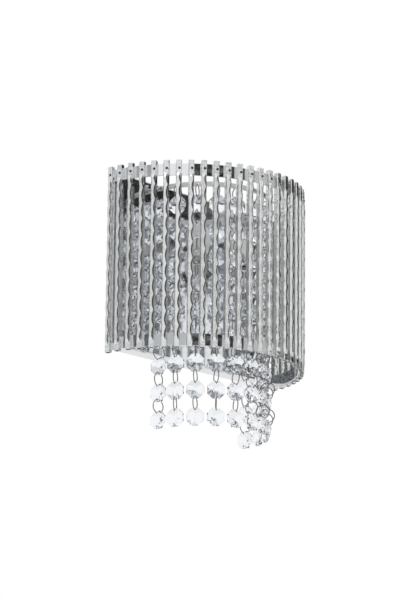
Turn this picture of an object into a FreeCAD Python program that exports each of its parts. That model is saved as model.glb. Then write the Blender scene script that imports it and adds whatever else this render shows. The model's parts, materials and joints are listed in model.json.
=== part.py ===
import FreeCAD, Part

import math
import os

# Crystal wall light: a half-round shade of crimped rods round a U of crystal strings.
# Millimetres. X runs along the wall, -Y away from it, Z up. The wall is the plane y = 0,
# and the origin lies on it, midway between the two wall screws, at half the rods' height.

# ---- shade of rods ----
rod_count = 30
rod_length = 150.0
rod_width = 4.4            # along the band
rod_depth = 4.4            # from the band out to the ridge
rod_ridge = 0.8            # how far the ridge stands past the two front edges
shade_radius = 94.1        # wall plane to the middle of a front rod
end_rod_from_wall = 4.9    # middle of the first and last rod

# ---- bands that carry the rods ----
band_height = 9.5
band_thickness = 1.0
band_setback = 2.0         # rods stand past the bands, top and bottom
band_wall_gap = 1.0
band_screw_up = 2.6        # from a band's inner edge towards the rods' ends

# ---- back pan ----
pan_setback = 4.5          # rods stand past the pan, top and bottom
pan_depth = 12.0
pan_wall = 1.0
pan_edge_radius = 2.0
pan_band_ease = 1.0        # the bands start to curve this far in front of the pan

# ---- wall strap ----
strap_length = 140.0
strap_height = 22.0
strap_thickness = 1.5
strap_lift = 4.0           # the middle stands off the wall for the stud heads
strap_foot = 22.0
strap_ramp = 4.0
wall_slot_spacing = 116.0
wall_slot_length = 12.0
wall_slot_width = 5.0

# ---- studs and cap nuts that hold the pan ----
stud_spacing = 72.0
stud_radius = 2.0
stud_head_radius = 3.6
stud_head_height = 2.4
stud_reach = 6.0           # how far the stud stands out of the pan
nut_across = 9.0
nut_hex_height = 3.6
nut_dome = [(8.6, 0.0), (7.2, 2.5), (3.2, 5.0)]   # widths across the dome and their heights
earth_screw_radius = 2.0
earth_head_across = 7.0
earth_head_height = 2.8
earth_screw_end = 1.5

# ---- crystal strings ----
string_count = 11
hoop_radius = 51.0         # the strings hang on this half circle
hoop_centre_from_wall = 21.0
hoop_thickness = 1.0
hoop_strip_height = 3.8
hoop_below_pan_top = 6.2   # down to the holes that the top links hang in
hoop_hole = 2.0
hoop_tab = 11.0
hoop_screw_along_tab = 6.0
hoop_bend = 1.5
bead_count = 9
bead_across = 14.0         # across the flats of the octagon
bead_thickness = 6.5
bead_rim = 2.0
bead_hole = 1.6
bead_hole_offset = 5.3     # middle of the bead to the middle of a hole
link_mean_radius = 5.43
link_wire = 0.9
end_string_from_pan = 7.6

# ---- lamps ----
lamp_spacing = 52.0
lamp_from_pan = 25.0
arm_width = 14.0
arm_thickness = 1.2
arm_level = 34.0           # top of the arm's shelf
arm_drop = 22.0
arm_screw_below = 17.0
holder_radius = 9.0
holder_height = 20.0
holder_taper_from = 14.0   # below the shelf
holder_end_radius = 7.5
holder_slot_depth = 8.0
holder_screw_offset = 5.6
bulb_radius = 6.6
bulb_length = 34.0
bulb_neck_radius = 4.3
bulb_tip_radius = 2.2
bulb_shoulder = 4.0
pinch_width = 12.0
pinch_thickness = 4.0
pin_spacing = 9.0
pin_size = 1.0
pin_length = 6.0

# ---- wiring ----
sleeve_radius = 1.5
sleeve_level_below = 6.0   # below the shelf
sleeve_behind_pan_face = 6.5
bushing_across = 5.6
bushing_flange_across = 8.4
bushing_flange = 1.2
block_length = 28.0
block_depth = 9.0
block_height = 14.0
block_well = 5.0
block_well_depth = 2.0

# ---- screws and fits ----
small_screw = (2.0, 4.0, 1.4)   # across the shank, across the head, height of the head
large_screw = (3.0, 5.5, 2.0)
screw_end = 3.0            # a screw reaches this far past what it goes through
thread_clearance = 0.05
loose_clearance = 0.3
seat_clearance = 0.2
cut_past = 1.0             # cutters run this far past the faces they cut

OUT = FreeCAD.Vector(0, -1, 0)
UP = FreeCAD.Vector(0, 0, 1)
vec = FreeCAD.Vector


def save(shapes, node):
    """One node: a single solid, or several like solids side by side."""
    shape = shapes[0] if len(shapes) == 1 else Part.makeCompound(shapes)
    shape.exportStep("parts/" + node + ".step")
    faces = sum(len(solid.tessellate(0.04)[1]) for solid in shape.Solids)
    print(node, "solids", len(shape.Solids), "valid", shape.isValid(), "facets", faces)


def prism(points, height, direction=UP):
    """A flat outline pushed along a direction."""
    return Part.Face(Part.makePolygon(points + points[:1])).extrude(direction * height)


def polygon_points(sides, across, centre, axis_x, axis_y):
    """Corners of a regular polygon with two flats square to axis_y."""
    reach = across / 2.0 / math.cos(math.pi / sides)
    turns = [2.0 * math.pi * (k + 0.5) / sides - math.pi / 2.0 for k in range(sides)]
    return [centre + axis_x * (reach * math.cos(t)) + axis_y * (reach * math.sin(t)) for t in turns]


def faceted_turning(profile, sides, start, direction):
    """A small turned piece with flat sides: (width across flats, distance) pairs along its axis."""
    across_x = UP if abs(direction.x) > 0.5 else vec(1, 0, 0)
    across_y = direction.cross(across_x)
    rings = [polygon_points(sides, width, start + direction * distance, across_x, across_y)
             for width, distance in profile]
    outlines = [rings[0], rings[-1]]
    for lower, upper in zip(rings, rings[1:]):
        for k in range(sides):
            after = (k + 1) % sides
            outlines.append([lower[k], lower[after], upper[after], upper[k]])
    return solid_from(outlines)


def solid_from(outlines):
    """A solid bounded by flat faces, each given by its corners."""
    faces = [Part.Face(Part.makePolygon(outline + outline[:1])) for outline in outlines]
    solid = Part.makeSolid(Part.makeShell(faces))
    if solid.Volume < 0:
        solid.reverse()
    return solid


def rod_between(across, start, direction, length):
    """Straight eight-sided shank, or the cutter for its hole."""
    return faceted_turning([(across, 0.0), (across, length)], 8, start, direction)


def hex_screw(size, seat, direction, grip):
    """Screw with a hexagon head on its seat; the shank runs against the direction."""
    shank_across, head_across, head_height = size
    head = faceted_turning([(head_across, 0.0), (head_across, head_height)], 6, seat, direction)
    return head.fuse(rod_between(shank_across, seat, direction * -1.0, grip + screw_end))


def hole(across, seat, direction, depth):
    """Cutter for a hole that starts on a seat and runs against the direction."""
    return rod_between(across, seat + direction * cut_past, direction * -1.0, depth + 2 * cut_past)


def screw_hole(size, seat, direction, depth):
    return hole(size[0] + 2 * thread_clearance, seat, direction, depth)


def mirror_x(shape):
    return shape.mirror(vec(0, 0, 0), vec(1, 0, 0))


# ---- sizes that follow ----
band_outer_radius = shade_radius - rod_depth / 2.0
band_inner_radius = band_outer_radius - band_thickness
band_start = pan_depth + pan_band_ease
band_outer_x = math.sqrt(band_outer_radius ** 2 - band_start ** 2)
band_inner_x = math.sqrt(band_inner_radius ** 2 - band_start ** 2)
pan_half_width = band_inner_x
pan_height = rod_length - 2 * pan_setback
pan_face = -pan_depth
pan_inner_face = pan_face + pan_wall
band_top = rod_length / 2.0 - band_setback
band_screw_level = band_top - band_height + band_screw_up
first_rod_turn = math.asin(end_rod_from_wall / shade_radius)
rod_turn = (math.pi - 2 * first_rod_turn) / (rod_count - 1)
second_rod_from_wall = band_outer_radius * math.sin(first_rod_turn + rod_turn)
band_screw_from_wall = (end_rod_from_wall + second_rod_from_wall) / 2.0
hoop_level = pan_height / 2.0 - hoop_below_pan_top
lamp_y = pan_face - lamp_from_pan
holder_top = arm_level - arm_thickness
holder_bottom = holder_top - holder_height
sleeve_level = holder_top - sleeve_level_below


def make_wall_strap():
    """Strap that is screwed to the wall: flat feet with slots, and a raised middle."""
    half = strap_length / 2.0
    foot_end = half - strap_foot
    middle_end = foot_end - strap_ramp
    wall_side = [(half, 0), (foot_end, 0), (middle_end, -strap_lift)]
    room_side = [(middle_end, -strap_lift - strap_thickness), (foot_end, -strap_thickness),
                 (half, -strap_thickness)]
    right = wall_side + [(-x, y) for x, y in reversed(wall_side)]
    left = [(-x, y) for x, y in reversed(room_side)] + room_side
    strap = prism([vec(x, y, -strap_height / 2.0) for x, y in right + left], strap_height)
    middle_face = -strap_lift - strap_thickness
    for side in (-1, 1):
        strap = strap.cut(wall_slot(side * wall_slot_spacing / 2.0))
        seat = vec(side * stud_spacing / 2.0, middle_face, 0)
        strap = strap.cut(hole(2 * (stud_radius + thread_clearance), seat, OUT, strap_thickness))
    earth_across = 2 * (earth_screw_radius + thread_clearance)
    return strap.cut(hole(earth_across, vec(0, middle_face, 0), OUT, strap_thickness))


def wall_slot(middle):
    """Cutter for a round-ended slot for a wall screw."""
    run = wall_slot_length - wall_slot_width
    radius = wall_slot_width / 2.0
    depth = strap_thickness + 2 * cut_past
    corner = vec(middle - run / 2.0, -strap_thickness - cut_past, -radius)
    slot = Part.makeBox(run, depth, wall_slot_width, corner)
    for end in (-1, 1):
        start = vec(middle + end * run / 2.0, cut_past, 0)
        slot = slot.fuse(Part.makeCylinder(radius, depth, start, OUT))
    return slot.removeSplitter()


def make_plate_studs():
    """Studs that stand forward from the strap, their heads behind it."""
    studs = []
    length = pan_depth + stud_reach - strap_lift
    for side in (-1, 1):
        seat = vec(side * stud_spacing / 2.0, -strap_lift, 0)
        head = rod_between(stud_head_radius * 2, seat, OUT * -1.0, stud_head_height)
        studs.append(head.fuse(rod_between(stud_radius * 2, seat, OUT, length)))
    return studs


def make_cap_nuts():
    nuts = []
    for side in (-1, 1):
        seat = vec(side * stud_spacing / 2.0, pan_face, 0)
        nut = faceted_turning([(nut_across, 0), (nut_across, nut_hex_height)], 6, seat, OUT)
        dome = faceted_turning(nut_dome, 12, seat + OUT * nut_hex_height, OUT)
        socket = rod_between(2 * (stud_radius + thread_clearance), seat - OUT * cut_past, OUT,
                             stud_reach + cut_past + loose_clearance)
        nuts.append(nut.fuse(dome).cut(socket))
    return nuts


def make_earth_screw():
    """Earth screw in the middle of the strap."""
    seat = vec(0, -strap_lift - strap_thickness, 0)
    head = faceted_turning([(earth_head_across, 0), (earth_head_across, earth_head_height)], 6, seat, OUT)
    length = strap_thickness + earth_screw_end
    return head.fuse(rod_between(earth_screw_radius * 2, seat, OUT * -1.0, length))


def make_back_pan():
    """Pressed pan, open to the wall, with rounded front edges."""
    block = Part.makeBox(pan_half_width * 2, pan_depth, pan_height,
                         vec(-pan_half_width, pan_face, -pan_height / 2.0))
    front_edges = [edge for edge in block.Edges
                   if all(abs(vertex.Y - pan_face) < 0.01 for vertex in edge.Vertexes)]
    block = block.makeFillet(pan_edge_radius, front_edges)
    wall_side = [face for face in block.Faces if abs(face.CenterOfMass.y) < 0.01]
    pan = block.makeThickness(wall_side, -pan_wall, 0.001)
    through_arm = arm_thickness + pan_wall
    for side in (-1, 1):
        stud_seat = vec(side * stud_spacing / 2.0, pan_face, 0)
        pan = pan.cut(hole(2 * (stud_radius + loose_clearance), stud_seat, OUT, pan_wall))
        pan = pan.cut(screw_hole(small_screw, hoop_screw_seat(side), OUT, hoop_thickness + pan_wall))
        pan = pan.cut(screw_hole(large_screw, arm_screw_seat(side), OUT, through_arm))
        pan = pan.cut(hole(bushing_across + 2 * seat_clearance, bushing_seat(side), OUT, through_arm))
        for level in (-1, 1):
            seat, direction = band_screw_place(side, level)
            pan = pan.cut(screw_hole(small_screw, seat, direction, band_thickness + pan_wall))
    return pan


def band_screw_place(side, level):
    seat = vec(side * band_outer_x, -band_screw_from_wall, level * band_screw_level)
    return seat, vec(side, 0, 0)


def band_outline(radius, edge_x):
    """Plan of one face of a band: half circle, with short straight ends beside the pan."""
    wall_end = -band_wall_gap
    left = Part.makeLine(vec(-edge_x, wall_end, 0), vec(-edge_x, -band_start, 0))
    bow = Part.Arc(vec(-edge_x, -band_start, 0), vec(0, -radius, 0), vec(edge_x, -band_start, 0)).toShape()
    right = Part.makeLine(vec(edge_x, -band_start, 0), vec(edge_x, wall_end, 0))
    return [left, bow, right]


def make_band(level):
    outer = band_outline(band_outer_radius, band_outer_x)
    inner = band_outline(band_inner_radius, band_inner_x)
    ends = [Part.makeLine(vec(side * band_outer_x, -band_wall_gap, 0),
                          vec(side * band_inner_x, -band_wall_gap, 0)) for side in (-1, 1)]
    outline = Part.Wire(Part.__sortEdges__(outer + inner + ends))
    band = Part.Face(outline).extrude(UP * band_height)
    bottom = band_top - band_height if level > 0 else -band_top
    band.translate(UP * bottom)
    for side in (-1, 1):
        seat, direction = band_screw_place(side, level)
        band = band.cut(screw_hole(small_screw, seat, direction, band_thickness))
    return band


def make_band_screws():
    places = [band_screw_place(side, level) for side in (-1, 1) for level in (-1, 1)]
    grip = band_thickness + pan_wall
    return [hex_screw(small_screw, seat, direction, grip) for seat, direction in places]


def make_shade_rods():
    """Rods stand on the bands' outer face, their ridges outwards."""
    half = rod_width / 2.0
    side_depth = rod_depth - rod_ridge
    section = [(-half, 0), (half, 0), (half, side_depth), (0, rod_depth), (-half, side_depth)]
    rods = []
    for number in range(rod_count):
        turn = first_rod_turn + rod_turn * number
        if number in (0, rod_count - 1):
            side = -1 if number == 0 else 1
            outward = vec(side, 0, 0)
            foot = vec(side * band_outer_x, -end_rod_from_wall, -rod_length / 2.0)
        else:
            outward = vec(-math.cos(turn), -math.sin(turn), 0)
            foot = outward * band_outer_radius - UP * (rod_length / 2.0)
        along = UP.cross(outward)
        corners = [foot + along * u + outward * w for u, w in section]
        rods.append(prism(corners, rod_length))
    return rods


def hoop_screw_seat(side):
    x = side * (hoop_radius + hoop_bend + hoop_screw_along_tab)
    return vec(x, pan_face - hoop_thickness, hoop_level)


def hoop_side(offset):
    """Plan of one face of the hoop strip: tab, bend, straight, half circle, and back."""
    tab_y = pan_face - hoop_thickness / 2.0
    tab_x = hoop_radius + hoop_bend + hoop_tab
    bend_y = tab_y - hoop_bend
    centre_y = -hoop_centre_from_wall
    leg_x = hoop_radius - offset
    bend_radius = hoop_bend + offset
    bend_mid = bend_radius * math.sqrt(0.5)
    bend_x = hoop_radius + hoop_bend
    edges = []
    for side in (-1, 1):
        tab_end = vec(side * tab_x, tab_y + offset, 0)
        bend_start = vec(side * bend_x, tab_y + offset, 0)
        bend_middle = vec(side * (bend_x - bend_mid), bend_y + bend_mid, 0)
        bend_end = vec(side * leg_x, bend_y, 0)
        edges.append(Part.makeLine(tab_end, bend_start))
        edges.append(Part.Arc(bend_start, bend_middle, bend_end).toShape())
        edges.append(Part.makeLine(bend_end, vec(side * leg_x, centre_y, 0)))
    front = vec(0, centre_y - leg_x, 0)
    edges.append(Part.Arc(vec(-leg_x, centre_y, 0), front, vec(leg_x, centre_y, 0)).toShape())
    return edges


def string_places():
    """Where each string hangs on the hoop, and the direction that faces out of the light."""
    end_y = pan_face - end_string_from_pan
    straight = end_y + hoop_centre_from_wall
    run = math.pi * hoop_radius + 2 * straight
    places = []
    for number in range(string_count):
        along = run * number / (string_count - 1)
        if along < straight:
            places.append((vec(-hoop_radius, end_y - along, 0), vec(-1, 0, 0)))
        elif along > run - straight:
            places.append((vec(hoop_radius, end_y - (run - along), 0), vec(1, 0, 0)))
        else:
            turn = (along - straight) / hoop_radius
            outward = vec(-math.cos(turn), -math.sin(turn), 0)
            places.append((outward * hoop_radius - vec(0, hoop_centre_from_wall, 0), outward))
    return places


def make_crystal_hoop():
    half = hoop_thickness / 2.0
    tab_y = pan_face - half
    tab_x = hoop_radius + hoop_bend + hoop_tab
    ends = [Part.makeLine(vec(side * tab_x, tab_y - half, 0), vec(side * tab_x, tab_y + half, 0))
            for side in (-1, 1)]
    outline = Part.Wire(Part.__sortEdges__(hoop_side(half) + hoop_side(-half) + ends))
    hoop = Part.Face(outline).extrude(UP * hoop_strip_height)
    hoop.translate(UP * (hoop_level - hoop_strip_height / 2.0))
    for place, outward in string_places():
        along = UP.cross(outward)
        corner = place - outward * hoop_thickness + UP * hoop_level
        corners = polygon_points(4, hoop_hole, corner, along, UP)
        hoop = hoop.cut(prism(corners, hoop_thickness * 2, outward))
    for side in (-1, 1):
        hoop = hoop.cut(screw_hole(small_screw, hoop_screw_seat(side), OUT, hoop_thickness))
    return hoop


def make_hoop_screws():
    grip = hoop_thickness + pan_wall
    return [hex_screw(small_screw, hoop_screw_seat(side), OUT, grip) for side in (-1, 1)]


def make_bead():
    """Cut octagon: eight facets rise to a point on each face, with two pierced holes."""
    rim = polygon_points(8, bead_across, vec(0, 0, 0), vec(1, 0, 0), UP)
    front = [point - vec(0, bead_rim / 2.0, 0) for point in rim]
    back = [point + vec(0, bead_rim / 2.0, 0) for point in rim]
    front_point = vec(0, -bead_thickness / 2.0, 0)
    back_point = vec(0, bead_thickness / 2.0, 0)
    outlines = []
    for number in range(8):
        after = (number + 1) % 8
        outlines.append([front_point, front[number], front[after]])
        outlines.append([back_point, back[after], back[number]])
        outlines.append([front[number], back[number], back[after], front[after]])
    bead = solid_from(outlines)
    for level in (-1, 1):
        middle = vec(0, -bead_thickness, level * bead_hole_offset)
        corners = polygon_points(4, bead_hole, middle, vec(1, 0, 0), UP)
        bead = bead.cut(prism(corners, bead_thickness * 2, OUT * -1.0))
    return bead


def make_link():
    """Wire link, six-sided, lying in the plane through the beads' holes."""
    side = vec(-link_wire / 2.0, 0, 0)
    outer_across = 2 * link_mean_radius + link_wire
    inner_across = 2 * link_mean_radius - link_wire
    outer = polygon_points(6, outer_across, side, vec(0, 1, 0), UP)
    inner = polygon_points(6, inner_across, side, vec(0, 1, 0), UP)
    return prism(outer, link_wire, vec(1, 0, 0)).cut(prism(inner, link_wire, vec(1, 0, 0)))


def hang(piece, place, outward, level):
    """A copy of a string piece at its height, facing outwards at its place on the hoop."""
    copy = piece.copy()
    turn = math.degrees(math.atan2(outward.x, -outward.y))
    copy.rotate(vec(0, 0, 0), UP, turn)
    copy.translate(place + UP * level)
    return copy


def make_lamp_arm():
    """Bent strip: a flange on the pan and a shelf that the lampholder hangs under."""
    half = arm_width / 2.0
    front = lamp_y - half
    flange_bottom = arm_level - arm_drop
    side_view = [(pan_face, flange_bottom), (pan_face, arm_level), (front, arm_level),
                 (front, arm_level - arm_thickness), (pan_face - arm_thickness, arm_level - arm_thickness),
                 (pan_face - arm_thickness, flange_bottom)]
    left = lamp_spacing / 2.0 - half
    arm = prism([vec(left, y, z) for y, z in side_view], arm_width, vec(1, 0, 0))
    arm = arm.cut(screw_hole(large_screw, arm_screw_seat(1), OUT, arm_thickness))
    arm = arm.cut(hole(bushing_across + 2 * seat_clearance, bushing_seat(1), OUT, arm_thickness))
    for seat in holder_screw_seats():
        arm = arm.cut(screw_hole(large_screw, seat, UP, arm_thickness))
    return arm


def arm_screw_seat(side):
    return vec(side * lamp_spacing / 2.0, pan_face - arm_thickness, arm_level - arm_screw_below)


def bushing_seat(side):
    return vec(side * lamp_spacing / 2.0, pan_face - arm_thickness, sleeve_level)


def holder_screw_seats():
    return [vec(lamp_spacing / 2.0 + side * holder_screw_offset, lamp_y, arm_level) for side in (-1, 1)]


def make_lampholder():
    """Ceramic two-pin holder with a slot for the lamp's pinch."""
    centre = vec(lamp_spacing / 2.0, lamp_y, holder_top)
    down = UP * -1.0
    holder = faceted_turning([(holder_radius * 2, 0), (holder_radius * 2, holder_taper_from),
                              (holder_end_radius * 2, holder_height)], 12, centre, down)
    slot_x = pinch_width + 2 * seat_clearance
    slot_y = pinch_thickness + 2 * seat_clearance
    slot_corner = vec(centre.x - slot_x / 2.0, lamp_y - slot_y / 2.0, holder_bottom - cut_past)
    holder = holder.cut(Part.makeBox(slot_x, slot_y, holder_slot_depth + cut_past, slot_corner))
    well = pin_size + 2 * seat_clearance
    well_base = holder_bottom + holder_slot_depth - cut_past
    for side in (-1, 1):
        well_corner = vec(centre.x + side * pin_spacing / 2.0 - well / 2.0, lamp_y - well / 2.0, well_base)
        holder = holder.cut(Part.makeBox(well, well, pin_length + seat_clearance + cut_past, well_corner))
    for seat in holder_screw_seats():
        holder = holder.cut(screw_hole(large_screw, seat, UP, arm_thickness + screw_end))
    return holder


def make_bulb():
    """Capsule lamp: round glass with a tapered tip, and a flat pinch that enters the holder."""
    centre = vec(lamp_spacing / 2.0, lamp_y, holder_bottom - seat_clearance)
    down = UP * -1.0
    glass = faceted_turning([(bulb_neck_radius * 2, 0), (bulb_radius * 2, bulb_shoulder),
                             (bulb_radius * 2, bulb_length - bulb_shoulder),
                             (bulb_tip_radius * 2, bulb_length)], 12, centre, down)
    corner = vec(centre.x - pinch_width / 2.0, lamp_y - pinch_thickness / 2.0, centre.z)
    return glass.fuse(Part.makeBox(pinch_width, pinch_thickness, holder_slot_depth, corner))


def make_lamp_pins():
    base = holder_bottom - seat_clearance + holder_slot_depth
    half = pin_size / 2.0
    middles = [lamp_spacing / 2.0 + side * pin_spacing / 2.0 for side in (-1, 1)]
    corners = [vec(middle - half, lamp_y - half, base) for middle in middles]
    return [Part.makeBox(pin_size, pin_size, pin_length, corner) for corner in corners]


def make_lead_sleeve():
    """Sleeved leads: from the holder straight back through the pan, then along to the terminals."""
    centre_x = lamp_spacing / 2.0
    along_y = pan_face + sleeve_behind_pan_face
    start = vec(centre_x, lamp_y + holder_radius, sleeve_level)
    corner = vec(centre_x, along_y, sleeve_level)
    path = Part.makePolygon([start, corner, vec(block_length / 2.0, along_y, sleeve_level)])
    outline = polygon_points(8, sleeve_radius * 2, start, vec(1, 0, 0), UP)
    section = Part.makePolygon(outline + outline[:1])
    return path.makePipeShell([section], True, False, 1)


def make_lead_bushing():
    """Plastic bushing that lines the hole through the arm and the pan."""
    seat = bushing_seat(1)
    length = arm_thickness + pan_wall + bushing_flange
    flange = rod_between(bushing_flange_across, seat, OUT, bushing_flange)
    barrel = rod_between(bushing_across, seat, OUT * -1.0, length)
    opening = hole(2 * (sleeve_radius + seat_clearance), seat + OUT * bushing_flange, OUT,
                   bushing_flange + length)
    return flange.fuse(barrel).cut(opening)


def make_terminal_block():
    """Three-pole screw terminal on the pan's inner face."""
    corner = vec(-block_length / 2.0, pan_inner_face, sleeve_level - block_height / 2.0)
    block = Part.makeBox(block_length, block_depth, block_height, corner)
    well_base = pan_inner_face + block_depth - block_well_depth
    for pole in (-1, 0, 1):
        left = pole * block_length / 3.0 - block_well / 2.0
        well_corner = vec(left, well_base, sleeve_level - block_well / 2.0)
        block = block.cut(Part.makeBox(block_well, block_well_depth + cut_past, block_well, well_corner))
    return block


def make_arm_screws():
    return [hex_screw(large_screw, arm_screw_seat(side), OUT, arm_thickness + pan_wall) for side in (-1, 1)]


def make_holder_screws():
    """Two screws hold each lampholder under its arm."""
    screws = [hex_screw(large_screw, seat, UP, arm_thickness) for seat in holder_screw_seats()]
    return screws + [mirror_x(screw) for screw in screws]


def save_strings():
    """Each string hangs on the hoop: a link, then a bead, and so on down."""
    bead = make_bead()
    link = make_link()
    pitch = 2 * bead_hole_offset + 2 * link_mean_radius
    for number, (place, outward) in enumerate(string_places(), start=1):
        link_levels = [hoop_level - link_mean_radius - pitch * step for step in range(bead_count)]
        bead_levels = [level - link_mean_radius - bead_hole_offset for level in link_levels]
        save([hang(bead, place, outward, level) for level in bead_levels], "string_%02d_crystals" % number)
        save([hang(link, place, outward, level) for level in link_levels], "string_%02d_links" % number)


def both_sides(piece):
    return [piece, mirror_x(piece)]


os.makedirs("parts", exist_ok=True)
save([make_wall_strap()], "wall_strap")
save(make_plate_studs(), "plate_studs")
save(make_cap_nuts(), "cap_nuts")
save([make_earth_screw()], "earth_screw")
save([make_back_pan()], "back_pan")
save([make_band(1)], "top_band")
save([make_band(-1)], "bottom_band")
save(make_band_screws(), "band_screws")
save(make_shade_rods(), "shade_rods")
save([make_crystal_hoop()], "crystal_hoop")
save(make_hoop_screws(), "hoop_screws")
save_strings()
save(both_sides(make_lamp_arm()), "lamp_arms")
save(make_arm_screws(), "arm_screws")
save(both_sides(make_lampholder()), "lampholders")
save(make_holder_screws(), "holder_screws")
save(both_sides(make_bulb()), "lamp_bulbs")
pins = make_lamp_pins()
save(pins + [mirror_x(pin) for pin in pins], "lamp_pins")
save(both_sides(make_lead_sleeve()), "lead_sleeves")
save(both_sides(make_lead_bushing()), "lead_bushings")
save([make_terminal_block()], "terminal_block")
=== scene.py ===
import json
import math

import bmesh
import bpy
from mathutils import Matrix, Vector


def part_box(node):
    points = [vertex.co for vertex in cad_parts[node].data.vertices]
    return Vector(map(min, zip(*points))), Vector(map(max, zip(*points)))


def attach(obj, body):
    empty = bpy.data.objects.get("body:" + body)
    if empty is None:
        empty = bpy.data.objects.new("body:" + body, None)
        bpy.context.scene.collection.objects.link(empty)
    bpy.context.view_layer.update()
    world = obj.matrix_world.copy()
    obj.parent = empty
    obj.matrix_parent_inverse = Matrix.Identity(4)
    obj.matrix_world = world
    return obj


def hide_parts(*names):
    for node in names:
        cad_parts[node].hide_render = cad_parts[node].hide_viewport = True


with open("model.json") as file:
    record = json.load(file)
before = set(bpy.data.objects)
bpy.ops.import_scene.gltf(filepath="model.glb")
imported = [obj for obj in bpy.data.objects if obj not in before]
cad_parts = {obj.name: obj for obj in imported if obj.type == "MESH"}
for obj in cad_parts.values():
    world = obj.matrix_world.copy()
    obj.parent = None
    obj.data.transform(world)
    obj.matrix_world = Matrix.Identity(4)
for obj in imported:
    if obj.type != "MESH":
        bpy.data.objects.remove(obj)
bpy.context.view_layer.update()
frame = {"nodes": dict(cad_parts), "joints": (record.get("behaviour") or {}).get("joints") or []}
nodes = frame["nodes"]

# ---------------------------------------------------------------- wall strap, studs and earth screw
# A strap of zinc-plated steel is screwed to the wall. Two studs stand out of it to carry
# the pan, their heads trapped behind the strap, and an earth screw sits in its middle.


def linear(hex_colour):
    """An sRGB hex colour as the linear values that Blender works in."""
    channels = [int(hex_colour[i:i + 2], 16) / 255 for i in (1, 3, 5)]
    return [c / 12.92 if c <= 0.04045 else ((c + 0.055) / 1.055) ** 2.4 for c in channels] + [1.0]


def add_node(tree, kind, settings=None, inputs=None):
    """A node with its settings; each input gets a value, or a link where a socket is given."""
    node = tree.nodes.new(kind)
    for name, value in (settings or {}).items():
        setattr(node, name, value)
    for key, value in (inputs or {}).items():
        if isinstance(value, bpy.types.NodeSocket):
            tree.links.new(value, node.inputs[key])
        else:
            node.inputs[key].default_value = value
    return node


def new_finish(name):
    """A new material whose tree is still empty, and that tree."""
    material = bpy.data.materials.new(name)
    material.use_nodes = True
    material.node_tree.nodes.clear()
    return material, material.node_tree


def coat_node(name, material):
    """A CAD node keeps its shape and takes this finish."""
    nodes[name].data.materials.clear()
    nodes[name].data.materials.append(material)


# Zinc-plated steel: a thin electroplated coat, bluish grey, with faint blotches about 3 mm
# across and a satin gloss that is rougher where the bath left a bloom.
zinc_plate, tree = new_finish("zinc_plated_steel")
place = add_node(tree, "ShaderNodeTexCoord")
blotch_size = 0.003
blotches = add_node(tree, "ShaderNodeTexNoise", None,
                    {"Vector": place.outputs["Object"], "Scale": 1 / blotch_size, "Detail": 3.0})
tint = add_node(tree, "ShaderNodeMix", {"data_type": "RGBA"},
                {0: blotches.outputs["Fac"], 6: linear("#9da2a8"), 7: linear("#c9ccd0")})
bloom = add_node(tree, "ShaderNodeMapRange", None,
                 {"Value": blotches.outputs["Fac"], "To Min": 0.28, "To Max": 0.45})
steel = add_node(tree, "ShaderNodeBsdfPrincipled", None,
                 {"Base Color": tint.outputs[2], "Metallic": 1.0, "Roughness": bloom.outputs[0]})
add_node(tree, "ShaderNodeOutputMaterial", None, {"Surface": steel.outputs[0]})

# Brass: turned from bar, warm yellow, dulled by handling in patches about 2 mm across.
brass, tree = new_finish("brass")
place = add_node(tree, "ShaderNodeTexCoord")
patch_size = 0.002
handling = add_node(tree, "ShaderNodeTexNoise", None,
                    {"Vector": place.outputs["Object"], "Scale": 1 / patch_size, "Detail": 2.0})
tint = add_node(tree, "ShaderNodeMix", {"data_type": "RGBA"},
                {0: handling.outputs["Fac"], 6: linear("#b08a3c"), 7: linear("#d8b868")})
turned = add_node(tree, "ShaderNodeBsdfPrincipled", None,
                  {"Base Color": tint.outputs[2], "Metallic": 1.0, "Roughness": 0.3})
add_node(tree, "ShaderNodeOutputMaterial", None, {"Surface": turned.outputs[0]})

for name in ("wall_strap", "plate_studs"):
    coat_node(name, zinc_plate)
coat_node("earth_screw", brass)

# ---------------------------------------------------------------- back pan and cap nuts
# The pan is pressed from sheet steel, polished and chromed, and is open to the wall.
# Two domed cap nuts, chromed as well, draw it back onto the studs.

# Chrome plate over polished steel: a near mirror, cool grey, with a faint haze from wiping
# in smears about 12 mm long and 4 mm high, so that its gloss isn't quite even.
chrome, tree = new_finish("polished_chrome")
place = add_node(tree, "ShaderNodeTexCoord")
smear_length = 0.012
smear_height = 0.004
smear = add_node(tree, "ShaderNodeMapping", None,
                 {"Vector": place.outputs["Object"],
                  "Scale": (1 / smear_length, 1 / smear_length, 1 / smear_height)})
wiping = add_node(tree, "ShaderNodeTexNoise", None,
                  {"Vector": smear.outputs[0], "Scale": 1.0, "Detail": 4.0})
haze = add_node(tree, "ShaderNodeMapRange", None,
                {"Value": wiping.outputs["Fac"], "From Min": 0.3, "From Max": 0.7,
                 "To Min": 0.03, "To Max": 0.09})
plate = add_node(tree, "ShaderNodeBsdfPrincipled", None,
                 {"Base Color": linear("#e2e4e7"), "Metallic": 1.0, "Roughness": haze.outputs[0]})
add_node(tree, "ShaderNodeOutputMaterial", None, {"Surface": plate.outputs[0]})

coat_node("back_pan", chrome)


def mesh_piece(name, mesh, material, body, node=None, smooth=False):
    """A finished mesh as a piece that rides on a body, and may stand for a CAD node."""
    mesh.materials.clear()
    mesh.materials.append(material)
    mesh.polygons.foreach_set("use_smooth", [smooth] * len(mesh.polygons))
    piece = bpy.data.objects.new(name, mesh)
    bpy.context.scene.collection.objects.link(piece)
    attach(piece, body)
    if node:
        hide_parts(node)
    return piece


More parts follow.
